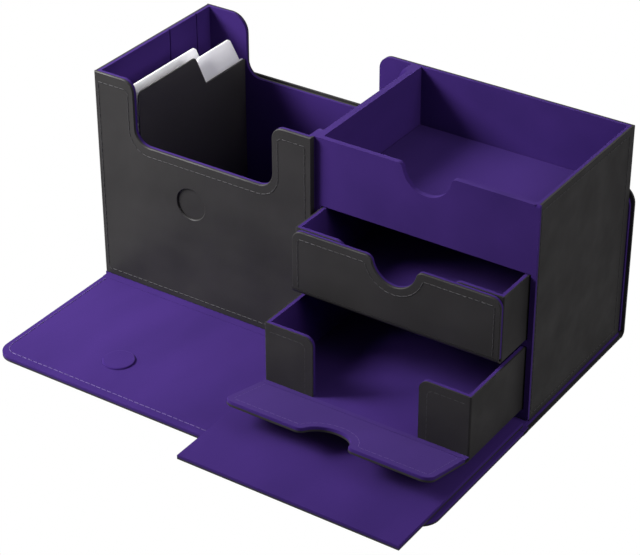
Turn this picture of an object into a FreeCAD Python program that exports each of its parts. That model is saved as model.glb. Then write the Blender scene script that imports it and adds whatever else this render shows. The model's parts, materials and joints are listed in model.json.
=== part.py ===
import FreeCAD, Part
import os
from FreeCAD import Placement, Rotation, Vector
from Sketcher import Constraint

# Card box with a card compartment, two drawers, a fold-down door and a separate lid.
# Frame: +X right along the front, +Y to the back, +Z up. The origin is on the resting face,
# below the front left corner of the box.

SIZES = {
    # wrapped panels: an outer board with a thinner lined board glued inside
    "board": 1.1,
    "lining": 1.4,
    "edge_round": 0.25,
    "front_edge_round": 0.35,
    "button_round": 0.8,
    "partition": 3.3,
    "shelf_board": 3.3,
    # box
    "box_width": 234.2,
    "box_depth": 90.0,
    "box_height": 109.5,
    "left_width": 121.6,
    "cut_margin": 22.6,
    "cut_width": 77.9,
    "cut_depth": 32.0,
    "cut_corner": 8.0,
    "cut_lip": 6.0,
    "back_cut_margin": 24.5,
    "back_cut_width": 77.4,
    "back_lip_left": 9.5,
    "back_lip_right": 6.5,
    "side_cut_margin": 11.9,
    "side_cut_depth": 30.0,
    "crease_width": 1.2,
    "crease_depth": 0.5,
    "crease_front": 55.0,
    "crease_back": 76.5,
    # lid, which the box stands on
    "lid_left_over": 0.3,
    "lid_flap_step": 1.6,
    "lid_over": 1.9,
    "lining_margin": 1.5,
    "lid_inset": 0.2,
    "lid_front_length": 80.56,
    "lid_rear_length": 77.0,
    "lid_corner": 9.0,
    "fold_gap": 0.5,
    "fold_strip": 0.6,
    # closing button of the lid and its recess
    "button_x": 54,
    "button_reach": 54.26,
    "button_radius": 7.75,
    "button_height": 0.85,
    "button_play": 0.2,
    "lid_magnet_radius": 6.5,
    "lid_magnet_thick": 1.5,
    "box_magnet_radius": 7.0,
    "magnet_thick": 0.8,
    # cabinet and door
    "door_gap": 0.3,
    "door_side_gap": 0.4,
    "door_length": 102.86,
    "door_magnet_radius": 5.0,
    "door_magnet_edge": 9.0,
    "door_magnet_side": 30.0,
    "tray_notch": 12.4,
    "tray_notch_lip": 2.6,
    "tray_notch_shift": 1.0,
    "pad_thick": 0.8,
    "pad_margin": 0.5,
    # drawers
    "drawer_height": 32.4,
    "drawer_length": 81.8,
    "drawer_wall": 0.7,
    "drawer_lining": 1.5,
    "drawer_side_gap": 0.7,
    "drawer_rest_gap": 0.3,
    "drawer_top_gap": 0.5,
    "drawer_door_gap": 0.2,
    "cheek_width": 25.5,
    "cheek_corner": 4.5,
    "drawer_corner": 0.9,
    "flap_gap": 0.1,
    "flap_strip": 0.5,
    "flap_corner": 5.0,
    "flap_notch": 11.5,
    "flap_notch_lip": 3.5,
    "flap_magnet_radius": 3.0,
    "flap_magnet_thick": 0.7,
    "flap_magnet_side": 12.0,
    "flap_magnet_top": 10.0,
    "upper_out": 23.8,
    "lower_out": 48.3,
    "lower_flap_rise": 14.5,
    # loose dividers
    "divider": 0.8,
    "divider_front": 0.4,
    "divider_depth": 84.2,
    "divider_height": 84.0,
    "divider_corner": 3.0,
    "white_side_x": 15.5,
    "white_side_back": 57.5,
    "white_side_rise": 16.0,
    "white_tab_x": 22.1,
    "white_tab_front": 50.0,
    "white_tab_back": 76.5,
    "white_tab_rise": 14.6,
    "black_x": 23.4,
    "black_back": 47.0,
    "black_rise": 17.0,
    "tab_slant": 8.0,
}

QUARTER_TURN = 90.0
NEAR = 0.001

doc = FreeCAD.newDocument("CardBox")
sheet = doc.addObject("Spreadsheet::Sheet", "Sizes")
for row, (name, value) in enumerate(SIZES.items(), start=1):
    sheet.set("A%d" % row, name)
    sheet.set("B%d" % row, str(value))
    sheet.setAlias("B%d" % row, name)
doc.recompute()


class Size:
    """A length kept as a number and as the expression over the sheet that gives it."""

    def __init__(self, value, text):
        self.value = value
        self.text = text

    def join(self, sign, other, value):
        return Size(value, "(%s %s %s)" % (self.text, sign, other.text))

    def __add__(self, other):
        return self.join("+", other, self.value + other.value)

    def __sub__(self, other):
        return self.join("-", other, self.value - other.value)

    def __neg__(self):
        return Size(-self.value, "(0 - %s)" % self.text)

    def __truediv__(self, number):
        return Size(self.value / number, "(%s / %s)" % (self.text, number))

    def __mul__(self, number):
        return Size(self.value * number, "(%s * %s)" % (self.text, number))


def size(name):
    return Size(float(sheet.get(name)), "Sizes." + name)


S = {name: size(name) for name in SIZES}
ZERO = Size(0.0, "0")
NODES = []


def keep(thing, label):
    """Name a finished piece; the name is also its file's."""
    thing.Label = label
    NODES.append(thing)
    return thing


def bind(thing, prop, length):
    thing.setExpression(prop, length.text)


def place(thing, x, y, z):
    bind(thing, "Placement.Base.x", x)
    bind(thing, "Placement.Base.y", y)
    bind(thing, "Placement.Base.z", z)


# ---------------------------------------------------------------- solids from primitives

def slab(label, x0, x1, y0, y1, z0, z1):
    """A plain rectangular board."""
    box = doc.addObject("Part::Box", label)
    bind(box, "Length", x1 - x0)
    bind(box, "Width", y1 - y0)
    bind(box, "Height", z1 - z0)
    place(box, x0, y0, z0)
    return keep(box, label)


ALONG = {
    "x": Rotation(Vector(0, 1, 0), QUARTER_TURN),
    "y": Rotation(Vector(1, 0, 0), -QUARTER_TURN),
    "z": Rotation(),
}


def disc(label, along, x, y, z, radius, thick):
    """A flat round disc that starts at the given centre and grows along one axis."""
    rod = doc.addObject("Part::Cylinder", label)
    rod.Placement = Placement(Vector(), ALONG[along])
    bind(rod, "Radius", radius)
    bind(rod, "Height", thick)
    place(rod, x, y, z)
    return rod


def pair(label, first, second):
    """Two equal pieces kept as one node."""
    both = doc.addObject("Part::Fuse", label)
    both.Base = first
    both.Tool = second
    return keep(both, label)


def bent_strip(label, turn, x0, x1, y, z, outer, thick):
    """A strip bent a quarter turn about a centre line that runs along X."""
    rods = []
    for part_name, radius in (("_out", outer), ("_in", outer - thick)):
        rod = doc.addObject("Part::Cylinder", label + part_name)
        rod.Angle = QUARTER_TURN
        rod.Placement = Placement(Vector(), turn)
        bind(rod, "Radius", radius)
        bind(rod, "Height", x1 - x0)
        place(rod, x0, y, z)
        rods.append(rod)
    strip = doc.addObject("Part::Cut", label)
    strip.Base = rods[0]
    strip.Tool = rods[1]
    return keep(strip, label)


# ---------------------------------------------------------------- sketched bodies

# plane name, sign of its normal, and which point of a solid the sketch's two axes read
PLANES = {"z": ("XY_Plane", 1), "y": ("XZ_Plane", -1), "x": ("YZ_Plane", 1)}
IN_PLANE = {
    "z": lambda p: (p.x, p.y),
    "y": lambda p: (p.x, p.z),
    "x": lambda p: (p.y, p.z),
}


def new_body(label):
    return keep(doc.addObject("PartDesign::Body", label), label)


def new_sketch(body, across, level):
    """An empty sketch square to one axis, at a level along it."""
    role, sign = PLANES[across]
    sketch = body.newObject("Sketcher::SketchObject", body.Name + "_sketch")
    plane = [f for f in body.Origin.OriginFeatures if f.Role == role][0]
    sketch.AttachmentSupport = [(plane, "")]
    sketch.MapMode = "FlatFace"
    bind(sketch, "AttachmentOffset.Base.z", level if sign > 0 else -level)
    return sketch


def pin_point(sketch, line, end, u, v):
    """Fix one end of a line by its two distances from the sketch's origin."""
    for kind, length in (("DistanceX", u), ("DistanceY", v)):
        index = sketch.addConstraint(Constraint(kind, -1, 1, line, end, length.value))
        sketch.setExpression("Constraints[%d]" % index, length.text)


def outline(body, across, level, points):
    """A closed outline of straight lines, every corner bound to the sheet."""
    sketch = new_sketch(body, across, level)
    count = len(points)
    flat = [Vector(u.value, v.value, 0) for u, v in points]
    for i in range(count):
        sketch.addGeometry(Part.LineSegment(flat[i], flat[(i + 1) % count]), False)
    for i in range(count):
        sketch.addConstraint(Constraint("Coincident", i, 2, (i + 1) % count, 1))
    for i, (u, v) in enumerate(points):
        pin_point(sketch, i, 1, u, v)
    return sketch


def rectangle(body, across, level, u0, u1, v0, v1):
    return outline(body, across, level, [(u0, v0), (u1, v0), (u1, v1), (u0, v1)])


def ring(body, across, level, u, v, radius):
    """A circle bound to the sheet."""
    sketch = new_sketch(body, across, level)
    sketch.addGeometry(Part.Circle(Vector(u.value, v.value, 0), Vector(0, 0, 1), radius.value), False)
    pin_point(sketch, 0, 3, u, v)
    index = sketch.addConstraint(Constraint("Radius", 0, radius.value))
    sketch.setExpression("Constraints[%d]" % index, radius.text)
    return sketch


def grow(body, sketch, across, length):
    """Add the sketch's solid, in the + direction of the axis it is square to."""
    pad = body.newObject("PartDesign::Pad", body.Name + "_pad")
    pad.Profile = sketch
    bind(pad, "Length", length)
    pad.Reversed = PLANES[across][1] < 0
    doc.recompute()
    return pad


def sink(body, sketch, across, length):
    """Cut the sketch's solid away, in the + direction of the axis it is square to."""
    before = body.Shape.Volume
    pocket = body.newObject("PartDesign::Pocket", body.Name + "_pocket")
    pocket.Profile = sketch
    bind(pocket, "Length", length)
    pocket.Reversed = PLANES[across][1] > 0
    doc.recompute()
    if body.Shape.Volume > before - NEAR:
        raise RuntimeError(body.Label + ": a pocket cuts nothing")
    return pocket


def edges_at(body, across, spots):
    """Names of the straight edges that run along an axis through the given places."""
    read = IN_PLANE[across]
    names = []
    for number, edge in enumerate(body.Shape.Edges, start=1):
        ends = [read(vertex.Point) for vertex in edge.Vertexes]
        if len(ends) != 2 or max(abs(a - b) for a, b in zip(*ends)) > NEAR:
            continue
        if any(max(abs(ends[0][0] - u.value), abs(ends[0][1] - v.value)) < NEAR for u, v in spots):
            names.append("Edge%d" % number)
    return names


def round_edges(body, across, spots, radius):
    """Round the edges that run along an axis at the given places."""
    names = edges_at(body, across, spots)
    if len(names) < len(spots):
        raise RuntimeError(body.Label + ": an edge to round is missing")
    add_fillet(body, names, radius)


def add_edge_feature(body, names, kind, prop, length):
    """A fillet or chamfer over named edges of the body as it stands."""
    last = body.Tip
    feature = body.newObject("PartDesign::" + kind, body.Name + "_" + kind.lower())
    feature.Base = (last, names)
    bind(feature, prop, length)
    doc.recompute()
    if "Invalid" in feature.State:
        raise RuntimeError(body.Label + ": an edge feature fails")


def add_fillet(body, names, radius):
    add_edge_feature(body, names, "Fillet", "Radius", radius)


def add_chamfer(body, names, setback):
    add_edge_feature(body, names, "Chamfer", "Size", setback)


def rim_of(body, across, level):
    """Names of the edges round the flat face that lies at a level."""
    number = "xyz".index(across)
    names = []
    for index, edge in enumerate(body.Shape.Edges, start=1):
        reach = [vertex.Point[number] for vertex in edge.Vertexes]
        reach.append(edge.valueAt((edge.FirstParameter + edge.LastParameter) / 2)[number])
        if max(abs(value - level.value) for value in reach) < NEAR:
            names.append("Edge%d" % index)
    return names


def soften(body, across, level, setback=S["edge_round"]):
    """Break the whole rim of a flat face: the wrapped board's edge."""
    add_chamfer(body, rim_of(body, across, level), setback)


def plate(label, across, level, thick, u0, u1, v0, v1):
    """A board as a sketched body, ready for cuts."""
    body = new_body(label)
    grow(body, rectangle(body, across, level, u0, u1, v0, v1), across, thick)
    return body


def cut_rim(body, across, level, thick, u0, u1, bottom, top, corner, lips):
    """A U-shaped cut-out with round bottom corners and round lips at the open side."""
    sink(body, rectangle(body, across, level, u0, u1, bottom, top + thick), across, thick)
    round_edges(body, across, [(u0, bottom), (u1, bottom)], corner)
    for u, lip in zip((u0, u1), lips):
        round_edges(body, across, [(u, top)], lip)


def cut_notch(body, across, level, thick, u, v, radius, lip):
    """A half-round finger notch in a straight edge, with round lips."""
    sink(body, ring(body, across, level, u, v, radius), across, thick)
    round_edges(body, across, [(u - radius, v), (u + radius, v)], lip)


# ---------------------------------------------------------------- shared levels

WALL = S["board"] + S["lining"]
BASE_TOP = WALL
BOX_TOP = BASE_TOP + S["box_height"]
WIDTH = S["box_width"]
DEPTH = S["box_depth"]
FLOOR_BOARD_TOP = BASE_TOP + S["board"]
FLOOR = FLOOR_BOARD_TOP + S["lining"]
BACK_IN = DEPTH - WALL
LEFT_IN = WALL
SIDE_END = S["left_width"] + S["door_side_gap"] / 4
SIDE_START = SIDE_END - WALL
CABINET_LEFT = SIDE_END + S["partition"]
CABINET_RIGHT = WIDTH - WALL
FRONT_PLANE = WALL + S["door_gap"]
CABINET_MIDDLE = (CABINET_LEFT + CABINET_RIGHT) / 2

# a fold: a strip that lies flat when the flap is open and bends a quarter turn when it closes
LID_BEND = WALL + S["fold_gap"]
LID_RUN = (LID_BEND - S["fold_strip"] / 2) * 1.5707963
FLAP_BEND = WALL + S["flap_gap"]
FLAP_RUN = (FLAP_BEND - S["flap_strip"] / 2) * 1.5707963


# ---------------------------------------------------------------- lid

LID_LEFT = -S["lid_left_over"]
LID_RIGHT = WIDTH + S["lid_over"]
LID_FRONT = S["lid_inset"]
LID_BACK = DEPTH - S["lid_inset"]
LINING_RIGHT = LID_RIGHT - S["lining_margin"]
FLAP_LEFT = LID_LEFT + S["lid_flap_step"]
FLAP_START = LID_FRONT - LID_RUN
FLAP_END = FLAP_START - S["lid_front_length"]
BUTTON_Y = FLAP_START - S["button_reach"]
# height of the button over the resting face once the flap is folded up against the box
BUTTON_Z = LID_BEND + S["button_reach"]


def lid_base():
    base = plate("lid_base_board", "z", ZERO, S["board"], LID_LEFT, LID_RIGHT, LID_FRONT, LID_BACK)
    soften_ends(base)
    slab("lid_base_liner", LID_LEFT, LINING_RIGHT, LID_FRONT, LID_BACK, S["board"], WALL)


def soften_ends(body):
    """Round the two short lower edges of the base panel."""
    round_edges(body, "y", [(LID_LEFT, ZERO), (LID_RIGHT, ZERO)], S["edge_round"])


def lid_front():
    for label, level, thick in (
        ("lid_front_board", ZERO, S["board"]),
        ("lid_front_liner", S["board"], S["lining"]),
    ):
        body = plate(label, "z", level, thick, FLAP_LEFT, LID_RIGHT, FLAP_END, FLAP_START)
        round_edges(body, "z", [(FLAP_LEFT, FLAP_END), (LID_RIGHT, FLAP_END)], S["lid_corner"])
        if thick is S["lining"]:
            add_button(body)
            soften_flap(body, WALL)
        else:
            soften_flap(body, ZERO)
    keep(disc("lid_front_magnet", "z", S["button_x"], BUTTON_Y, S["board"],
              S["lid_magnet_radius"], S["lid_magnet_thick"]), "lid_front_magnet")
    slab("lid_front_fold", LID_LEFT, LID_RIGHT, FLAP_START, LID_FRONT, ZERO, S["fold_strip"])
    slab("lid_front_fold_liner", LID_LEFT, LID_RIGHT, FLAP_START, LID_FRONT,
         WALL - S["fold_strip"], WALL)


def add_button(body):
    """The lining rises in a round button over its magnet."""
    top = S["lining"] + S["button_height"]
    grow(body, ring(body, "z", S["board"], S["button_x"], BUTTON_Y, S["button_radius"]), "z", top)
    sink(body, ring(body, "z", S["board"], S["button_x"], BUTTON_Y, S["lid_magnet_radius"]),
         "z", S["lid_magnet_thick"])
    add_fillet(body, rim_of(body, "z", WALL + S["button_height"]), S["button_round"])


def soften_flap(body, level):
    """Round the rim of a lid flap's face, apart from the button's own edges."""
    names = []
    for index, edge in enumerate(body.Shape.Edges, start=1):
        box = edge.BoundBox
        flat = max(abs(box.ZMin - level.value), abs(box.ZMax - level.value)) < NEAR
        if flat and not edge.isClosed():
            names.append("Edge%d" % index)
    add_chamfer(body, names, S["edge_round"])


def lid_rear():
    outer = LID_BACK + LID_BEND
    inner = outer - WALL
    full = LID_BEND + S["lid_rear_length"]
    for label, level, thick, right, top in (
        ("lid_rear_board", outer - S["board"], S["board"], LID_RIGHT, full),
        ("lid_rear_liner", inner, S["lining"], LINING_RIGHT, full - S["lining_margin"]),
    ):
        body = plate(label, "y", level, thick, LID_LEFT, right, LID_BEND, top)
        round_edges(body, "y", [(LID_LEFT, top), (right, top)], S["lid_corner"])
        if thick is S["lining"]:
            pocket = ring(body, "y", outer - S["board"] - S["magnet_thick"],
                          S["button_x"], BUTTON_Z, S["box_magnet_radius"])
            sink(body, pocket, "y", S["magnet_thick"])
    keep(disc("lid_rear_magnet", "y", S["button_x"], outer - S["board"] - S["magnet_thick"], BUTTON_Z,
              S["box_magnet_radius"], S["magnet_thick"]), "lid_rear_magnet")
    down_to_back = Rotation(Vector(0, 1, 0), QUARTER_TURN)
    bent_strip("lid_rear_fold", down_to_back, LID_LEFT, LID_RIGHT, LID_BACK, LID_BEND,
               LID_BEND, S["fold_strip"])


# ---------------------------------------------------------------- outer walls of the box

CUT_LEFT = S["cut_margin"]
CUT_RIGHT = CUT_LEFT + S["cut_width"]
CUT_BOTTOM = BOX_TOP - S["cut_depth"]
BACK_CUT_LEFT = S["back_cut_margin"]
BACK_CUT_RIGHT = BACK_CUT_LEFT + S["back_cut_width"]
CUT_LIPS = (S["cut_lip"], S["cut_lip"])
BACK_LIPS = (S["back_lip_left"], S["back_lip_right"])
RETURN_START = S["left_width"] - S["board"]


def front_wall():
    """The front panel's covering turns round its free end, so the board has a return there."""
    body = plate("front_panel", "y", ZERO, S["board"], ZERO, S["left_width"], BASE_TOP, BOX_TOP)
    edge = rectangle(body, "y", S["board"], RETURN_START, S["left_width"], BASE_TOP, BOX_TOP)
    grow(body, edge, "y", S["lining"])
    cut_rim(body, "y", ZERO, S["board"], CUT_LEFT, CUT_RIGHT, CUT_BOTTOM, BOX_TOP,
            S["cut_corner"], CUT_LIPS)
    recess = ring(body, "y", ZERO, S["button_x"], BUTTON_Z, S["button_radius"] + S["button_play"])
    sink(body, recess, "y", S["button_height"])
    soften(body, "y", ZERO, S["front_edge_round"])
    liner = plate("front_liner", "y", S["board"], S["lining"], S["board"], RETURN_START,
                  FLOOR_BOARD_TOP, BOX_TOP)
    cut_rim(liner, "y", S["board"], S["lining"], CUT_LEFT, CUT_RIGHT, CUT_BOTTOM, BOX_TOP,
            S["cut_corner"], CUT_LIPS)
    hold_magnet(liner, "front_magnet", S["board"])


def hold_magnet(liner, label, level):
    """A disc sealed in a round pocket of a lining."""
    pocket = ring(liner, "y", level, S["button_x"], BUTTON_Z, S["box_magnet_radius"])
    sink(liner, pocket, "y", S["magnet_thick"])
    keep(disc(label, "y", S["button_x"], level, BUTTON_Z,
              S["box_magnet_radius"], S["magnet_thick"]), label)


def left_wall():
    panel = plate("left_panel", "x", ZERO, S["board"], S["board"], DEPTH - S["board"],
                  BASE_TOP, BOX_TOP)
    round_edges(panel, "y", [(ZERO, BOX_TOP)], S["edge_round"])
    liner = plate("left_liner", "x", S["board"], S["lining"], WALL, BACK_IN, FLOOR_BOARD_TOP, BOX_TOP)
    for middle in (S["crease_front"], S["crease_back"]):
        start = middle - S["crease_width"] / 2
        end = middle + S["crease_width"] / 2
        crease = rectangle(liner, "x", WALL - S["crease_depth"], start, end, FLOOR, BOX_TOP + WALL)
        sink(liner, crease, "x", S["crease_depth"])


def back_wall():
    face = DEPTH - S["board"]
    body = plate("back_panel", "y", face, S["board"], ZERO, WIDTH, BASE_TOP, BOX_TOP)
    cut_rim(body, "y", face, S["board"], BACK_CUT_LEFT, BACK_CUT_RIGHT, CUT_BOTTOM, BOX_TOP,
            S["cut_corner"], BACK_LIPS)
    soften(body, "y", DEPTH)
    liner = plate("back_liner_left", "y", BACK_IN, S["lining"], S["board"], SIDE_END,
                  FLOOR_BOARD_TOP, BOX_TOP)
    cut_rim(liner, "y", BACK_IN, S["lining"], BACK_CUT_LEFT, BACK_CUT_RIGHT, CUT_BOTTOM, BOX_TOP,
            S["cut_corner"], BACK_LIPS)
    hold_magnet(liner, "back_magnet", face - S["magnet_thick"])
    slab("back_liner_right", CABINET_LEFT, WIDTH - S["board"], BACK_IN, face, FLOOR_BOARD_TOP, BOX_TOP)


def right_wall():
    """The lining turns round the wall's front edge, so the liner has a return there."""
    start = FRONT_PLANE + S["lining"]
    panel = plate("right_panel", "x", WIDTH - S["board"], S["board"], start,
                  DEPTH - S["board"], BASE_TOP, BOX_TOP)
    round_edges(panel, "y", [(WIDTH, BOX_TOP)], S["edge_round"])
    liner = plate("right_liner", "x", CABINET_RIGHT, S["lining"], FRONT_PLANE, BACK_IN,
                  FLOOR_BOARD_TOP, BOX_TOP)
    edge = rectangle(liner, "x", CABINET_RIGHT + S["lining"], FRONT_PLANE, start,
                     FLOOR_BOARD_TOP, BOX_TOP)
    grow(liner, edge, "x", S["board"])
    round_edges(liner, "x", [(FRONT_PLANE, BOX_TOP)], S["lining"])


def floor_layers():
    """Both floor layers step back behind the cabinet's front plane."""
    for label, level, thick, left, right, front, back in (
        ("floor_panel", BASE_TOP, S["board"], S["board"], WIDTH - S["board"], S["board"],
         DEPTH - S["board"]),
        ("floor_liner", FLOOR_BOARD_TOP, S["lining"], LEFT_IN, CABINET_RIGHT, WALL, BACK_IN),
    ):
        steps = [(left, front), (SIDE_END, front), (SIDE_END, FRONT_PLANE), (right, FRONT_PLANE),
                 (right, back), (left, back)]
        body = new_body(label)
        grow(body, outline(body, "z", level, steps), "z", thick)


# ---------------------------------------------------------------- inside boards

LOWER_BOTTOM = FLOOR + S["shelf_board"] + S["drawer_rest_gap"]
LOWER_TOP = LOWER_BOTTOM + S["drawer_height"]
SHELF = LOWER_TOP + S["drawer_top_gap"]
UPPER_BOTTOM = SHELF + S["shelf_board"] + S["drawer_rest_gap"]
UPPER_TOP = UPPER_BOTTOM + S["drawer_height"]
TRAY_BOTTOM = UPPER_TOP + S["drawer_top_gap"]
TRAY_FLOOR = TRAY_BOTTOM + S["shelf_board"]
TRAY_FRONT = FRONT_PLANE + WALL


def compartment_side():
    body = plate("compartment_side", "x", SIDE_START, WALL, WALL, BACK_IN, FLOOR, BOX_TOP)
    cut_rim(body, "x", SIDE_START, WALL, WALL + S["side_cut_margin"], BACK_IN - S["side_cut_margin"],
            BOX_TOP - S["side_cut_depth"], BOX_TOP, S["cut_corner"], CUT_LIPS)


def cabinet_boards():
    slab("cabinet_side", SIDE_END, CABINET_LEFT, FRONT_PLANE, DEPTH - S["board"], FLOOR, BOX_TOP)
    slab("cabinet_floor", CABINET_LEFT, CABINET_RIGHT, FRONT_PLANE, BACK_IN,
         FLOOR, FLOOR + S["shelf_board"])
    slab("middle_shelf", CABINET_LEFT, CABINET_RIGHT, FRONT_PLANE, BACK_IN,
         SHELF, SHELF + S["shelf_board"])
    slab("top_shelf", CABINET_LEFT, CABINET_RIGHT, TRAY_FRONT, BACK_IN, TRAY_BOTTOM, TRAY_FLOOR)
    slab("tray_pad", CABINET_LEFT + S["pad_margin"], CABINET_RIGHT - S["pad_margin"],
         TRAY_FRONT + S["pad_margin"], BACK_IN - S["pad_margin"],
         TRAY_FLOOR, TRAY_FLOOR + S["pad_thick"])


# ---------------------------------------------------------------- tray front and door

DOOR_LEFT = S["left_width"] + S["door_side_gap"]
DOOR_START = FRONT_PLANE - LID_RUN
DOOR_END = DOOR_START - S["door_length"]
DOOR_MAGNET_Y = DOOR_END + S["door_magnet_edge"]
DOOR_MAGNET_Z = BASE_TOP + LID_BEND + S["door_length"] - S["door_magnet_edge"]
DOOR_MAGNETS_X = (DOOR_LEFT + S["door_magnet_side"], WIDTH - S["door_magnet_side"])


def tray_front():
    body = plate("tray_front_board", "y", FRONT_PLANE, S["board"], CABINET_LEFT, CABINET_RIGHT,
                 TRAY_BOTTOM, BOX_TOP)
    notch_x = CABINET_MIDDLE + S["tray_notch_shift"]
    cut_notch(body, "y", FRONT_PLANE, S["board"], notch_x, BOX_TOP,
              S["tray_notch"], S["tray_notch_lip"])
    level = FRONT_PLANE + S["board"]
    liner = plate("tray_front_liner", "y", level, S["lining"], CABINET_LEFT, CABINET_RIGHT,
                  TRAY_BOTTOM, BOX_TOP)
    cut_notch(liner, "y", level, S["lining"], notch_x, BOX_TOP,
              S["tray_notch"], S["tray_notch_lip"])
    discs = []
    for x in DOOR_MAGNETS_X:
        pocket = ring(liner, "y", level, x, DOOR_MAGNET_Z, S["door_magnet_radius"])
        sink(liner, pocket, "y", S["magnet_thick"])
        discs.append(disc("tray_magnet", "y", x, level, DOOR_MAGNET_Z,
                          S["door_magnet_radius"], S["magnet_thick"]))
    pair("tray_magnets", *discs)


def door():
    """The door lies open on the lid's front flap, its board below and its lining above."""
    board = plate("door_board", "z", BASE_TOP, S["board"], DOOR_LEFT, WIDTH, DOOR_END, DOOR_START)
    soften(board, "z", BASE_TOP)
    liner = plate("door_liner", "z", FLOOR_BOARD_TOP, S["lining"], DOOR_LEFT, WIDTH,
                  DOOR_END, DOOR_START)
    discs = []
    for x in DOOR_MAGNETS_X:
        pocket = ring(liner, "z", FLOOR_BOARD_TOP, x, DOOR_MAGNET_Y, S["door_magnet_radius"])
        sink(liner, pocket, "z", S["magnet_thick"])
        discs.append(disc("door_magnet", "z", x, DOOR_MAGNET_Y, FLOOR_BOARD_TOP,
                          S["door_magnet_radius"], S["magnet_thick"]))
    soften(liner, "z", FLOOR)
    pair("door_magnets", *discs)
    slab("door_fold", DOOR_LEFT, WIDTH, DOOR_START, FRONT_PLANE, BASE_TOP, BASE_TOP + S["fold_strip"])


# ---------------------------------------------------------------- drawers

DRAWER_LEFT = CABINET_LEFT + S["drawer_side_gap"]
DRAWER_RIGHT = CABINET_RIGHT - S["drawer_side_gap"]
DRAWER_SHELL = S["drawer_wall"] + S["drawer_lining"]
# inner face of the closed door, then the closed drawer flap, then the drawer's cheeks
DOOR_CLOSED_IN = FRONT_PLANE - LID_BEND + WALL
CHEEK_IN = DOOR_CLOSED_IN + S["drawer_door_gap"] + FLAP_BEND
CHEEK_LEFT = DRAWER_LEFT + S["cheek_width"]
CHEEK_RIGHT = DRAWER_RIGHT - S["cheek_width"]
FLAP_LENGTH = S["drawer_height"] - FLAP_BEND
MAGNETS_X = (DRAWER_LEFT + S["flap_magnet_side"], DRAWER_RIGHT - S["flap_magnet_side"])


def open_tray(label, front, bottom, top, inset, wall):
    """A tray with a floor, four walls and a wide opening in the front wall."""
    left = DRAWER_LEFT + inset
    right = DRAWER_RIGHT - inset
    near = front + inset
    far = front + S["drawer_length"] - inset
    body = plate(label, "z", bottom + inset, top - bottom - inset, left, right, near, far)
    hollow = rectangle(body, "z", bottom + inset + wall, left + wall, right - wall,
                       near + wall, far - wall)
    sink(body, hollow, "z", S["drawer_height"])
    gap = rectangle(body, "y", near, CHEEK_LEFT, CHEEK_RIGHT, bottom + inset + wall, top + wall)
    sink(body, gap, "y", wall)
    round_edges(body, "y", [(CHEEK_LEFT, top), (CHEEK_RIGHT, top)], S["cheek_corner"])
    return body


def drawer(label, out, bottom):
    front = CHEEK_IN - out
    top = bottom + S["drawer_height"]
    body = open_tray(label + "_drawer_body", front, bottom, top, ZERO, S["drawer_wall"])
    back = front + S["drawer_length"]
    round_edges(body, "z", [(x, y) for x in (DRAWER_LEFT, DRAWER_RIGHT) for y in (front, back)],
                S["drawer_corner"])
    liner = open_tray(label + "_drawer_liner", front, bottom, top, S["drawer_wall"],
                      S["drawer_lining"])
    sill = rectangle(liner, "z", bottom + S["drawer_wall"], CHEEK_LEFT, CHEEK_RIGHT,
                     front, front + DRAWER_SHELL)
    grow(liner, sill, "z", S["drawer_lining"])
    level = front + S["drawer_wall"]
    height = top - S["flap_magnet_top"]
    discs = []
    for x in MAGNETS_X:
        pocket = ring(liner, "y", level, x, height, S["flap_magnet_radius"])
        sink(liner, pocket, "y", S["flap_magnet_thick"])
        discs.append(disc(label + "_cheek_magnet", "y", x, level, height,
                          S["flap_magnet_radius"], S["flap_magnet_thick"]))
    pair(label + "_cheek_magnets", *discs)
    return front


def flap_layer(label, level, thick, end):
    """One layer of a drawer flap, drawn lying open in front of its fold axis."""
    body = plate(label, "z", level, thick, DRAWER_LEFT, DRAWER_RIGHT, end, -FLAP_RUN / 2)
    round_edges(body, "z", [(DRAWER_LEFT, end), (DRAWER_RIGHT, end)], S["flap_corner"])
    cut_notch(body, "z", level, thick, CABINET_MIDDLE, end, S["flap_notch"], S["flap_notch_lip"])
    return body


def drawer_flap(label, front, bottom, rise):
    """A flap folded up about its axis by the angle rise, from lying flat."""
    outer = FLAP_RUN / 2 - FLAP_BEND
    seam = outer + S["board"]
    end = -FLAP_RUN / 2 - FLAP_LENGTH
    board = flap_layer(label + "_flap_board", outer, S["board"], end)
    soften(board, "z", outer)
    liner = flap_layer(label + "_flap_liner", seam, S["lining"], end)
    spot = end + S["flap_magnet_top"]
    discs = []
    for x in MAGNETS_X:
        pocket = ring(liner, "z", seam, x, spot, S["flap_magnet_radius"])
        sink(liner, pocket, "z", S["flap_magnet_thick"])
        discs.append(disc(label + "_flap_magnet", "z", x, spot, seam,
                          S["flap_magnet_radius"], S["flap_magnet_thick"]))
    soften(liner, "z", outer + WALL)
    magnets = pair(label + "_flap_magnets", *discs)
    for piece in (board, liner, magnets):
        piece.Placement = Placement(Vector(), Rotation(Vector(-1, 0, 0), rise.value))
        bind(piece, "Placement.Rotation.Angle", rise)
        place(piece, ZERO, front - FLAP_RUN / 2, bottom + FLAP_BEND - FLAP_RUN / 2)


def sloped_fold(label, front, bottom, rise, sill, depth):
    """One cloth of a flap's fold, straight from a height on the drawer to a depth in the flap."""
    body = new_body(label)
    cosine = Size(0.0, "cos(%s * 1 deg)" % rise.text)
    sine = Size(0.0, "sin(%s * 1 deg)" % rise.text)
    angle = FreeCAD.Units.Quantity(rise.value, FreeCAD.Units.Angle).getValueAs("rad").Value
    half = FLAP_RUN / 2
    drop = FLAP_BEND - half
    turned = []
    for below in (drop - depth, drop - depth - S["flap_strip"]):
        y, z = turn_up(half, below, cosine, sine, angle)
        turned.append((front - half - y, bottom + FLAP_BEND - half + z))
    start = bottom + sill
    points = [(front, start), (front, start + S["flap_strip"]), turned[1], turned[0]]
    grow(body, outline(body, "x", DRAWER_LEFT, points), "x", DRAWER_RIGHT - DRAWER_LEFT)


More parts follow.
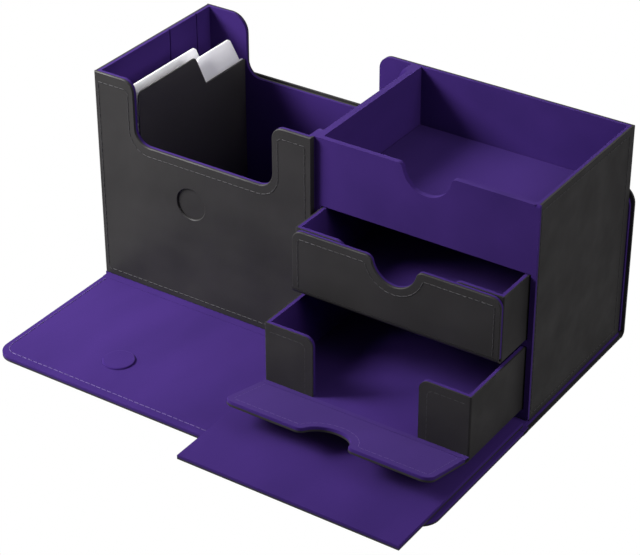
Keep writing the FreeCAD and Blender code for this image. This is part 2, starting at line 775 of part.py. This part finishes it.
def turn_up(reach, depth, cosine, sine, angle):
    """Where a point reach ahead of the axis and depth below it goes when the flap rises."""
    cos_value = Vector(1, 0, 0).dot(Rotation(Vector(0, 0, 1), Radian=angle) * Vector(1, 0, 0))
    sin_value = Vector(0, 1, 0).dot(Rotation(Vector(0, 0, 1), Radian=angle) * Vector(1, 0, 0))
    ahead = Size(reach.value * cos_value + depth.value * sin_value,
                 "(%s * %s + %s * %s)" % (reach.text, cosine.text, depth.text, sine.text))
    above = Size(reach.value * sin_value - depth.value * cos_value,
                 "(%s * %s - %s * %s)" % (reach.text, sine.text, depth.text, cosine.text))
    return ahead, above


# ---------------------------------------------------------------- dividers

DIVIDER_START = WALL + S["divider_front"]
DIVIDER_END = DIVIDER_START + S["divider_depth"]
DIVIDER_TOP = FLOOR + S["divider_height"]


def divider(label, prefix, tab_start):
    """A thin upright sheet with a raised index tab; a tab away from the front slopes at both ends."""
    end = S[prefix + "_back"]
    top = DIVIDER_TOP + S[prefix + "_rise"]
    slant = S["tab_slant"]
    points = [(DIVIDER_START, FLOOR), (DIVIDER_END, FLOOR), (DIVIDER_END, DIVIDER_TOP),
              (end + slant, DIVIDER_TOP), (end, top), (tab_start, top)]
    if tab_start is not DIVIDER_START:
        points += [(tab_start - slant / 4, DIVIDER_TOP), (DIVIDER_START, DIVIDER_TOP)]
    body = new_body(label)
    level = S[prefix + "_x"] - S["divider"] / 2
    grow(body, outline(body, "x", level, points), "x", S["divider"])
    round_edges(body, "x", [(end, top), (tab_start, top)], S["divider_corner"])


# ---------------------------------------------------------------- the whole box

lid_base()
lid_front()
lid_rear()
front_wall()
left_wall()
back_wall()
right_wall()
floor_layers()
compartment_side()
cabinet_boards()
tray_front()
door()
upper_front = drawer("upper", S["upper_out"], UPPER_BOTTOM)
drawer_flap("upper", upper_front, UPPER_BOTTOM, Size(QUARTER_TURN, str(QUARTER_TURN)))
down_to_front = Rotation(Vector(0, -1, 0), Vector(0, 0, -1), Vector(1, 0, 0), "ZXY")
bent_strip("upper_flap_fold", down_to_front, DRAWER_LEFT, DRAWER_RIGHT, upper_front,
           UPPER_BOTTOM + FLAP_BEND, FLAP_BEND, S["flap_strip"])
lower_front = drawer("lower", S["lower_out"], LOWER_BOTTOM)
drawer_flap("lower", lower_front, LOWER_BOTTOM, S["lower_flap_rise"])
sloped_fold("lower_flap_fold", lower_front, LOWER_BOTTOM, S["lower_flap_rise"], ZERO, ZERO)
sloped_fold("lower_flap_fold_liner", lower_front, LOWER_BOTTOM, S["lower_flap_rise"],
            DRAWER_SHELL - S["flap_strip"], WALL - S["flap_strip"])
divider("divider_white_side", "white_side", DIVIDER_START)
divider("divider_white_tab", "white_tab", S["white_tab_front"])
divider("divider_black_tab", "black", DIVIDER_START)

doc.recompute()
for thing in doc.Objects:
    if "Invalid" in thing.State or "Error" in thing.State:
        raise RuntimeError(thing.Label + " did not build: " + ", ".join(thing.State))
for thing in NODES:
    if thing.Shape.isNull() or not thing.Shape.isValid():
        raise RuntimeError(thing.Label + " has no valid shape")

os.makedirs("parts", exist_ok=True)
for thing in NODES:
    thing.Shape.exportStep("parts/" + thing.Label + ".step")
print("wrote %d pieces" % len(NODES))
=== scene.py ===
import json
import math

import bpy
from mathutils import Matrix, Vector


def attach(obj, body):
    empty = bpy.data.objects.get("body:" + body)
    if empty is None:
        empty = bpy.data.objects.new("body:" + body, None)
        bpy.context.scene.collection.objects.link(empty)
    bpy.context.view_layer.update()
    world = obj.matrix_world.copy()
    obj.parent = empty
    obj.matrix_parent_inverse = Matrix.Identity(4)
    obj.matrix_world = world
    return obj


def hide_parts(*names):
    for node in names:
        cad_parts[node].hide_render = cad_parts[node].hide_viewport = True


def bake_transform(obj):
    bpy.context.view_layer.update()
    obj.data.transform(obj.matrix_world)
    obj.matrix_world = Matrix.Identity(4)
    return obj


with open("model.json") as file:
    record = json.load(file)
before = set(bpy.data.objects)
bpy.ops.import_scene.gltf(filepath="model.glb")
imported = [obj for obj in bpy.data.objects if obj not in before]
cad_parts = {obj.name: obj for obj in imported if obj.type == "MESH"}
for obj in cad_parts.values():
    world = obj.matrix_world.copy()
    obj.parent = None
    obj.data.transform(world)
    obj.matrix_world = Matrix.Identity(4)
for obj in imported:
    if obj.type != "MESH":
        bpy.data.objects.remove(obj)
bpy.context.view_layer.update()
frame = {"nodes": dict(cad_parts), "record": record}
NODES = frame["nodes"]
MM = 0.001

# ------------------------------------------------------------------ sizes in millimetres

WALL = 2.5
WIDTH, DEPTH = 234.2, 90.0
BOTTOM, TOP = 2.5, 112.0
FRONT_WIDTH = 121.6
CUT = (22.6, 100.5, 80.0)
BACK_CUT = (24.5, 101.9, 80.0)
CUT_CORNER = 8.0
FRONT_PLANE = 2.8
LID_X = (-0.3, 236.1)
FLAP_X = (1.3, 236.1)
LID_FRONT, LID_BACK = 0.2, 89.8
LID_BEND = 3.0
LID_RUN = 4.241
FLAP_START = LID_FRONT - LID_RUN
FLAP_REACH = 80.56
DOOR_X = (122.0, 234.2)
DRAWER_X = (125.7, 231.0)
MIDDLE = (DRAWER_X[0] + DRAWER_X[1]) / 2
FLAP_BEND, FLAP_RUN = 2.6, 3.691
DRAWER_SHELL, DRAWER_HEIGHT, CHEEK_STITCH = 2.2, 32.4, 31.2
FLAP_LENGTH = 29.8
FLAP_CORNER, NOTCH = 5.0, 11.5
UPPER_FRONT, LOWER_FRONT = -18.7, -43.2
UPPER_BOTTOM, LOWER_BOTTOM = 45.1, 8.6
RISE = math.radians(14.5)
LID_STRIP, FLAP_STRIP = 0.6, 0.5

# a stitch line's distance from the edges beside it
INSET, TOP_INSET, CUT_INSET = 3.2, 5.0, 4.5
FRONT_LEFT_INSET, FRONT_RIGHT_INSET = 2.2, 3.4
RIGHT_FRONT_INSET, WALL_INSET = 2.4, 4.6
LID_SIDE_INSET, LID_END_INSET, REAR_SIDE_INSET = 2.6, 4.0, 4.0
FLAP_SIDE_INSET, FLAP_END_INSET = 3.0, 3.8
CHEEK_SIDE_INSET, CHEEK_LOW_INSET, CHEEK_TOP_INSET = 2.6, 2.0, 4.0
FOLD_MARGIN = 1.0
REAR_LINE_TOP = 75.0

# the corner radii of stitch lines
LINE_CORNER, LIP_CORNER, LID_LINE_CORNER = 1.5, 2.4, 6.0
NOTCH_LIP_CORNER, CHEEK_LINE_CORNER = 2.0, 3.0
CORNER_STEPS, NOTCH_STEPS = 8, 12

STITCH_STEP, STITCH_LENGTH, STITCH_RADIUS = 3.1, 2.3, 0.19
# a stitch's middle lies this far outside its face; shallow ones pass close to another piece
PROUD, SHALLOW = 0.06, -0.14

# ------------------------------------------------------------------ view and light

AZIMUTH, ELEVATION, ROLL = math.radians(34.14), math.radians(31.24), math.radians(-0.30)
VIEW_CENTRE, VIEW_DISTANCE = Vector((120, 0, 50)), 974.8
LENS, SENSOR = 121.0, 36.0
SHIFT_X, SHIFT_Y = 0.0183, -0.0294

# soft light from each side: direction and strength
SKY = (((-1, 0, 0), 1.08), ((0, 0, -1), 0.25), ((0, 1, 0), 0.15), ((0, 0, 1), 0.15))

# name, place and aim in metres, side in metres, power in watts, cone in degrees
LAMPS = (
    ("key", (-0.42, -0.3, 0.48), (-0.03, 0.0, 0.1), 0.3, 1.14, 50),
    ("side", (1.0, 0.0, 0.6), (0.12, 0.0, 0.05), 0.6, 5.1, 180),
)


# ------------------------------------------------------------------ materials

def new_material(name, rough, colour):
    """A principled material and its node tree; the constants sit on the shader's sockets."""
    mat = bpy.data.materials.new(name)
    mat.use_nodes = True
    shader = mat.node_tree.nodes["Principled BSDF"]
    shader.inputs["Roughness"].default_value = rough
    shader.inputs["Base Color"].default_value = (*colour, 1.0)
    return mat, mat.node_tree, shader


def noise(tree, scale, detail=2.0, stretch=(1, 1, 1)):
    """Noise over the object's own coordinates."""
    where = tree.nodes.new("ShaderNodeTexCoord")
    mapping = tree.nodes.new("ShaderNodeMapping")
    mapping.inputs["Scale"].default_value = stretch
    tex = tree.nodes.new("ShaderNodeTexNoise")
    tex.inputs["Scale"].default_value = scale
    tex.inputs["Detail"].default_value = detail
    tree.links.new(where.outputs["Object"], mapping.inputs["Vector"])
    tree.links.new(mapping.outputs["Vector"], tex.inputs["Vector"])
    return tex.outputs["Fac"]


def spread(tree, value, low, high):
    """Map a 0.3 to 0.7 noise value on to a range."""
    node = tree.nodes.new("ShaderNodeMapRange")
    node.inputs["From Min"].default_value = 0.3
    node.inputs["From Max"].default_value = 0.7
    node.inputs["To Min"].default_value = low
    node.inputs["To Max"].default_value = high
    tree.links.new(value, node.inputs["Value"])
    return node.outputs["Result"]


def two_tones(tree, value, dark, light):
    """A colour that goes from dark to light as the value goes from 0 to 1."""
    mix = tree.nodes.new("ShaderNodeMix")
    mix.data_type = "RGBA"
    mix.inputs["A"].default_value = (*dark, 1.0)
    mix.inputs["B"].default_value = (*light, 1.0)
    tree.links.new(value, mix.inputs["Factor"])
    return mix.outputs["Result"]


def bump(tree, shader, layers):
    """Stack bumps of (height value, strength, distance in metres)."""
    last = None
    for value, strength, distance in layers:
        node = tree.nodes.new("ShaderNodeBump")
        node.inputs["Strength"].default_value = strength
        node.inputs["Distance"].default_value = distance
        tree.links.new(value, node.inputs["Height"])
        if last:
            tree.links.new(last, node.inputs["Normal"])
        last = node.outputs["Normal"]
    tree.links.new(last, shader.inputs["Normal"])


def leatherette():
    """Dark cover with a fine grain and slightly uneven tone and shine."""
    mat, tree, shader = new_material("leatherette", 0.5, (0.025, 0.024, 0.025))
    tone = spread(tree, noise(tree, 28.0), 0.0, 1.0)
    tree.links.new(two_tones(tree, tone, (0.022, 0.0208, 0.0212), (0.0315, 0.0297, 0.0305)),
                   shader.inputs["Base Color"])
    tree.links.new(spread(tree, noise(tree, 60.0), 0.42, 0.6), shader.inputs["Roughness"])
    grain = noise(tree, 1500.0, 3.0)
    soft = noise(tree, 120.0, 1.0)
    bump(tree, shader, [(soft, 0.25, 0.0006), (grain, 0.35, 0.00012)])
    shader.inputs["Specular IOR Level"].default_value = 0.2
    return mat


def microfibre():
    """Purple lining with a short nap."""
    mat, tree, shader = new_material("microfibre", 0.95, (0.036, 0.0135, 0.127))
    tone = spread(tree, noise(tree, 35.0, 4.0, (1, 0.35, 1)), 0.0, 1.0)
    tree.links.new(two_tones(tree, tone, (0.0305, 0.0115, 0.113), (0.0405, 0.0153, 0.140)),
                   shader.inputs["Base Color"])
    nap = noise(tree, 2600.0, 2.0)
    bump(tree, shader, [(nap, 0.4, 0.00015)])
    shader.inputs["Specular IOR Level"].default_value = 0.08
    shader.inputs["Sheen Weight"].default_value = 0.14
    shader.inputs["Sheen Roughness"].default_value = 0.5
    shader.inputs["Sheen Tint"].default_value = (0.5, 0.35, 0.9, 1.0)
    return mat


def thread(name, colour):
    """Sewing thread."""
    mat, tree, shader = new_material(name, 0.7, colour)
    bump(tree, shader, [(noise(tree, 3000.0, 1.0), 0.3, 0.0001)])
    return mat


def sheet_plastic(name, colour, rough):
    """Thin sheet that lets some light through."""
    mat, tree, shader = new_material(name, rough, colour)
    bump(tree, shader, [(noise(tree, 40.0, 1.0), 0.05, 0.0005)])
    shader.inputs["Subsurface Weight"].default_value = 1.0
    shader.inputs["Subsurface Radius"].default_value = (1.0, 1.0, 1.0)
    shader.inputs["Subsurface Scale"].default_value = 0.002
    return mat


def plated():
    """The magnets' metal."""
    mat, tree, shader = new_material("magnet", 0.3, (0.55, 0.55, 0.57))
    shader.inputs["Metallic"].default_value = 1.0
    return mat


MATERIALS = {
    "leatherette": leatherette(),
    "microfibre": microfibre(),
    "magnet": plated(),
    "divider_white": sheet_plastic("divider_white", (0.88, 0.87, 0.9), 0.45),
    "divider_black": sheet_plastic("divider_black", (0.028, 0.026, 0.026), 0.5),
    "thread_grey": thread("thread_grey", (0.046, 0.044, 0.048)),
    "thread_lilac": thread("thread_lilac", (0.11, 0.07, 0.24)),
}


def paint(obj, name):
    """Give an object one material."""
    obj.data.materials.clear()
    obj.data.materials.append(MATERIALS[name])


def paint_nodes():
    """Give every solid the material of its slot."""
    for part in frame["record"]["subparts"]:
        paint(NODES[part["node"]], part["material_slot"])


# ------------------------------------------------------------------ stitching

def arc_points(corner, before, after, radius):
    """The points that round one corner of an outline."""
    a, b = (before - corner).normalized(), (after - corner).normalized()
    half = a.angle(b) / 2
    reach = radius / math.tan(half)
    start, end = corner + a * reach, corner + b * reach
    centre = corner + (a + b).normalized() * (radius / math.sin(half))
    first, last = start - centre, end - centre
    turn = math.atan2(first.cross(last), first.dot(last))
    out = []
    for i in range(CORNER_STEPS + 1):
        c, s = math.cos(turn * i / CORNER_STEPS), math.sin(turn * i / CORNER_STEPS)
        out.append(centre + Vector((first.x * c - first.y * s, first.x * s + first.y * c)))
    return out


def rounded(corners):
    """A closed outline from (u, v, radius) corners."""
    flat = [Vector((u, v)) for u, v, _ in corners]
    out = []
    for i, (_, _, radius) in enumerate(corners):
        if radius > 0:
            out += arc_points(flat[i], flat[i - 1], flat[(i + 1) % len(flat)], radius)
        else:
            out.append(flat[i])
    return out + out[:1]


def walk(path, step):
    """Points at an even step along a path, with the path's direction at each."""
    total = sum((b - a).length for a, b in zip(path, path[1:]))
    count = max(1, round(total / step))
    gap = total / count
    out, along, target = [], 0.0, gap / 2
    for a, b in zip(path, path[1:]):
        length = (b - a).length
        while length > 0 and target <= along + length and len(out) < count:
            out.append((a.lerp(b, (target - along) / length), (b - a).normalized()))
            target += gap
        along += length
    return out


def empty_mesh(name):
    """A mesh object at the origin, open in edit mode with nothing in it."""
    bpy.ops.object.select_all(action="DESELECT")
    bpy.ops.mesh.primitive_plane_add(size=MM, location=(0, 0, 0))
    obj = bpy.context.object
    obj.name = name
    bpy.ops.object.mode_set(mode="EDIT")
    bpy.ops.mesh.select_all(action="SELECT")
    bpy.ops.mesh.delete(type="VERT")
    return obj


def stitch(name, body, path, to_space, colour):
    """Separate stitches along a path; to_space turns (u, v) into a point in millimetres."""
    obj = empty_mesh(name)
    for spot, way in walk(path, STITCH_STEP):
        middle = to_space(spot.x, spot.y)
        ahead = to_space(spot.x + way.x, spot.y + way.y) - middle
        bpy.ops.mesh.primitive_cylinder_add(
            vertices=6, radius=STITCH_RADIUS * MM, depth=STITCH_LENGTH * MM,
            location=middle * MM, rotation=ahead.to_track_quat("Z", "Y").to_euler())
    bpy.ops.object.mode_set(mode="OBJECT")
    paint(obj, colour)
    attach(obj, body)


def cut_panel_path(left, right, cut):
    """The stitch line of a panel with a U-shaped cut-out; left and right are the lines' ends."""
    x0, x1, low = cut
    side, under, high, base = INSET, low - CUT_INSET, TOP - TOP_INSET, BOTTOM + INSET
    return rounded([
        (left, base, LINE_CORNER), (right, base, LINE_CORNER), (right, high, LINE_CORNER),
        (x1 + side, high, LIP_CORNER), (x1 + side, under, CUT_CORNER + side),
        (x0 - side, under, CUT_CORNER + side), (x0 - side, high, LIP_CORNER),
        (left, high, LINE_CORNER)])


def plain_path(u0, u1, v0, v1):
    """A rounded rectangle."""
    return rounded([(u, v, LINE_CORNER) for u, v in ((u0, v0), (u1, v0), (u1, v1), (u0, v1))])


def open_path(u0, u1, start, end, radius):
    """Three sides of a panel, from and back to the edge that is left open."""
    corners = [(u0, start, 0), (u0, end, radius), (u1, end, radius), (u1, start, 0)]
    return rounded(corners)[:-1]


def flap_path():
    """The open stitch line of a drawer flap, round the finger notch; v runs from the fold."""
    wide = NOTCH + FLAP_END_INSET
    reach = math.sqrt(wide * wide - FLAP_END_INSET * FLAP_END_INSET)
    start = math.asin(FLAP_END_INSET / wide)
    left, right = DRAWER_X[0] + FLAP_SIDE_INSET, DRAWER_X[1] - FLAP_SIDE_INSET
    high, corner = FLAP_LENGTH - FLAP_END_INSET, FLAP_CORNER - FLAP_SIDE_INSET
    corners = [(right, FOLD_MARGIN, 0), (right, high, corner),
               (MIDDLE + reach, high, NOTCH_LIP_CORNER)]
    for k in range(1, NOTCH_STEPS):
        angle = start + (math.pi - 2 * start) * k / NOTCH_STEPS
        corners.append((MIDDLE + wide * math.cos(angle), FLAP_LENGTH - wide * math.sin(angle), 0))
    corners += [(MIDDLE - reach, high, NOTCH_LIP_CORNER), (left, high, corner),
                (left, FOLD_MARGIN, 0)]
    return rounded(corners)[:-1]


def cheek_path(edge, bottom):
    """The stitch line of one front cheek of a drawer, along its inner side and its top."""
    inner = MIDDLE + edge * CHEEK_STITCH
    outer = MIDDLE + edge * (DRAWER_X[1] - MIDDLE - CHEEK_SIDE_INSET)
    low, high = bottom + CHEEK_LOW_INSET, bottom + DRAWER_HEIGHT - CHEEK_TOP_INSET
    first, turn, last = Vector((inner, low)), Vector((inner, high)), Vector((outer, high))
    return [first] + arc_points(turn, first, last, CHEEK_LINE_CORNER) + [last]


def flap_space(front, bottom, rise, depth):
    """Places a flap's (x, distance from the fold) at a depth from its outer face."""
    pivot = Vector((0, front - FLAP_RUN / 2, bottom + FLAP_BEND - FLAP_RUN / 2))
    turn = Matrix.Rotation(-rise, 3, "X")
    outer = FLAP_RUN / 2 - FLAP_BEND

    def to_space(u, v):
        return pivot + turn @ Vector((u, -FLAP_RUN / 2 - v, outer + depth))
    return to_space


def sew():
    """Every row of stitches: name, body, line, how the line lies in space, and thread."""
    grey, lilac = "thread_grey", "thread_lilac"
    low, high = BOTTOM + INSET, TOP - INSET
    front_line = cut_panel_path(FRONT_LEFT_INSET, FRONT_WIDTH - FRONT_RIGHT_INSET, CUT)
    stitch("front_stitching", "box", front_line, lambda u, v: Vector((u, -PROUD, v)), grey)
    back_line = cut_panel_path(INSET, WIDTH - INSET, BACK_CUT)
    stitch("back_stitching", "box", back_line, lambda u, v: Vector((u, DEPTH + PROUD, v)), grey)
    right_line = plain_path(FRONT_PLANE + RIGHT_FRONT_INSET, DEPTH - WALL_INSET, low, high)
    stitch("right_stitching", "box", right_line, lambda u, v: Vector((WIDTH + PROUD, u, v)), grey)
    left_line = plain_path(WALL_INSET, DEPTH - WALL_INSET, low, high)
    stitch("left_stitching", "box", left_line, lambda u, v: Vector((-PROUD, u, v)), grey)

    lid_line = open_path(FLAP_X[0] + LID_SIDE_INSET, FLAP_X[1] - LID_SIDE_INSET,
                         FOLD_MARGIN, FLAP_REACH - LID_END_INSET, LID_LINE_CORNER)
    for name, level, colour in (
        ("lid_flap_outer", -PROUD, grey),
        ("lid_flap", WALL + PROUD, lilac),
    ):
        stitch(name + "_stitching", "lid_front", lid_line,
               lambda u, v, level=level: Vector((u, FLAP_START - v, level)), colour)

    rear_line = open_path(LID_X[0] + REAR_SIDE_INSET, LID_X[1] - REAR_SIDE_INSET,
                          LID_BEND + FOLD_MARGIN, REAR_LINE_TOP, LID_LINE_CORNER)
    for name, depth, colour in (
        ("rear_flap_outer", LID_BEND + PROUD, grey),
        ("rear_flap", LID_BEND - WALL - PROUD, lilac),
    ):
        stitch(name + "_stitching", "lid_rear", rear_line,
               lambda u, v, depth=depth: Vector((u, LID_BACK + depth, v)), colour)

    for name, front, bottom, rise in (
        ("upper", UPPER_FRONT, UPPER_BOTTOM, math.pi / 2),
        ("lower", LOWER_FRONT, LOWER_BOTTOM, RISE),
    ):
        stitch(name + "_flap_stitching", name + "_flap", flap_path(),
               flap_space(front, bottom, rise, -PROUD), grey)
        stitch(name + "_flap_inner_stitching", name + "_flap", flap_path(),
               flap_space(front, bottom, rise, WALL + SHALLOW), lilac)
        for side, edge in (("left", -1), ("right", 1)):
            stitch(name + "_cheek_stitching_" + side, name + "_drawer", cheek_path(edge, bottom),
                   lambda u, v, front=front: Vector((u, front - SHALLOW, v)), grey)


# ------------------------------------------------------------------ fold strips

def finish_strip(obj, thick, colour, node):
    """Thicken a sheet, colour it and hide the stored piece it stands in for."""
    solid = obj.modifiers.new("thick", "SOLIDIFY")
    solid.thickness = thick * MM
    solid.offset = -1
    bpy.ops.object.modifier_apply(modifier="thick")
    bpy.ops.object.shade_smooth_by_angle(angle=math.radians(50))
    paint(obj, colour)
    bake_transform(obj)
    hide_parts(node)


def flat_strip(node, colour, x, y0, y1, z0, z1, thick):
    """A strip between two edges: y0, z0 on the first body and y1, z1 on the second."""
    bpy.ops.object.select_all(action="DESELECT")
    bpy.ops.mesh.primitive_grid_add(x_subdivisions=2, y_subdivisions=12, size=1,
                                    location=(0, 0, 0))
    obj = bpy.context.object
    obj.name = node + "_strip"
    slope = math.atan2(z1 - z0, y1 - y0)
    length = math.hypot(y1 - y0, z1 - z0)
    obj.scale = ((x[1] - x[0]) * MM, length * MM, 1)
    obj.rotation_euler = (slope, 0, 0)
    obj.location = Vector(((x[0] + x[1]) / 2, (y0 + y1) / 2, (z0 + z1) / 2)) * MM
    bpy.ops.object.transform_apply(location=True, rotation=True, scale=True)
    if obj.data.polygons[0].normal.z < 0:
        bpy.ops.object.mode_set(mode="EDIT")
        bpy.ops.mesh.select_all(action="SELECT")
        bpy.ops.mesh.flip_normals()
        bpy.ops.object.mode_set(mode="OBJECT")
    finish_strip(obj, thick, colour, node)


def bent_strip(node, colour, x, y, z, radius, thick, side):
    """A strip bent a quarter turn below and to one side (+1 back, -1 front) of a centre line."""
    bpy.ops.object.select_all(action="DESELECT")
    bpy.ops.mesh.primitive_cylinder_add(
        vertices=64, radius=radius * MM, depth=(x[1] - x[0]) * MM, end_fill_type="NOTHING",
        location=Vector(((x[0] + x[1]) / 2, y, z)) * MM, rotation=(0, math.pi / 2, 0))
    obj = bpy.context.object
    obj.name = node + "_strip"
    bpy.ops.object.transform_apply(location=True, rotation=True, scale=True)
    bpy.ops.object.mode_set(mode="EDIT")
    centre = Vector((0, y, z)) * MM
    for normal in ((0, 0, 1), (0, -side, 0)):
        bpy.ops.mesh.select_all(action="SELECT")
        bpy.ops.mesh.bisect(plane_co=centre, plane_no=normal, clear_outer=True)
    bpy.ops.object.mode_set(mode="OBJECT")
    finish_strip(obj, thick, colour, node)


def folds():
    """The seven strips that bend, in place of the stored straight or bent ones."""
    flat_strip("lid_front_fold", "leatherette", FLAP_X,
               LID_FRONT, FLAP_START, LID_STRIP, LID_STRIP, LID_STRIP)
    flat_strip("lid_front_fold_liner", "microfibre", FLAP_X,
               LID_FRONT, FLAP_START, WALL, WALL, LID_STRIP)
    bent_strip("lid_rear_fold", "leatherette", LID_X,
               LID_BACK, LID_BEND, LID_BEND, LID_STRIP, 1)
    door_level = BOTTOM + LID_STRIP
    flat_strip("door_fold", "microfibre", DOOR_X,
               FRONT_PLANE, FRONT_PLANE - LID_RUN, door_level, door_level, LID_STRIP)
    bent_strip("upper_flap_fold", "leatherette", DRAWER_X,
               UPPER_FRONT, UPPER_BOTTOM + FLAP_BEND, FLAP_BEND, FLAP_STRIP, -1)
    edge = flap_space(LOWER_FRONT, LOWER_BOTTOM, RISE, FLAP_STRIP)(0, 0)
    flat_strip("lower_flap_fold", "leatherette", DRAWER_X,
               LOWER_FRONT, edge.y, LOWER_BOTTOM + FLAP_STRIP, edge.z, FLAP_STRIP)
    edge = flap_space(LOWER_FRONT, LOWER_BOTTOM, RISE, WALL)(0, 0)
    flat_strip("lower_flap_fold_liner", "microfibre", DRAWER_X,
               LOWER_FRONT, edge.y, LOWER_BOTTOM + DRAWER_SHELL, edge.z, FLAP_STRIP)


# ------------------------------------------------------------------ camera, light, background

def camera():
    """The view, from the front right and above."""
    data = bpy.data.cameras.new("camera")
    cam = bpy.data.objects.new("camera", data)
    bpy.context.collection.objects.link(cam)
    level = math.cos(ELEVATION)
    back = Vector((math.sin(AZIMUTH) * level, -math.cos(AZIMUTH) * level, math.sin(ELEVATION)))
    right = Vector((math.cos(AZIMUTH), math.sin(AZIMUTH), 0))
    up = back.cross(right)
    tilted = right * math.cos(ROLL) + up * math.sin(ROLL)
    turn = Matrix((tilted, back.cross(tilted), back)).transposed().to_4x4()
    cam.matrix_world = Matrix.Translation((VIEW_CENTRE + back * VIEW_DISTANCE) * MM) @ turn
    data.sensor_width = SENSOR
    data.lens = LENS
    data.shift_x = SHIFT_X
    data.shift_y = SHIFT_Y
    data.clip_start, data.clip_end = 0.05, 10.0
    bpy.context.scene.camera = cam


def lamp(name, where, aim, size, power, cone):
    """A soft square lamp."""
    data = bpy.data.lights.new(name, "AREA")
    data.shape = "SQUARE"
    data.size = size
    data.energy = power
    data.spread = math.radians(cone)
    obj = bpy.data.objects.new(name, data)
    bpy.context.collection.objects.link(obj)
    obj.location = where
    obj.rotation_euler = (Vector(where) - Vector(aim)).to_track_quat("Z", "Y").to_euler()


def surroundings():
    """White behind the object, and soft light on it from the sky's sides and the lamps."""
    world = bpy.data.worlds.new("white")
    bpy.context.scene.world = world
    world.use_nodes = True
    tree = world.node_tree
    where = tree.nodes.new("ShaderNodeTexCoord").outputs["Generated"]
    total = None
    for axis, power in SKY:
        glow = tree.nodes.new("ShaderNodeVectorMath")
        glow.operation = "DOT_PRODUCT"
        glow.inputs[1].default_value = axis
        tree.links.new(where, glow.inputs[0])
        part = tree.nodes.new("ShaderNodeMapRange")
        part.inputs["To Max"].default_value = power
        tree.links.new(glow.outputs["Value"], part.inputs["Value"])
        if total:
            both = tree.nodes.new("ShaderNodeMath")
            tree.links.new(total, both.inputs[0])
            tree.links.new(part.outputs["Result"], both.inputs[1])
            total = both.outputs["Value"]
        else:
            total = part.outputs["Result"]
    strength = tree.nodes.new("ShaderNodeMapRange")
    strength.inputs["To Max"].default_value = 1.0
    seen = tree.nodes.new("ShaderNodeLightPath").outputs["Is Camera Ray"]
    tree.links.new(seen, strength.inputs["Value"])
    tree.links.new(total, strength.inputs["To Min"])
    ground = tree.nodes["Background"]
    ground.inputs["Color"].default_value = (1, 1, 1, 1)
    tree.links.new(strength.outputs["Result"], ground.inputs["Strength"])
    for values in LAMPS:
        lamp(*values)
    bpy.context.scene.view_settings.view_transform = "Standard"


paint_nodes()
folds()
sew()
camera()
surroundings()
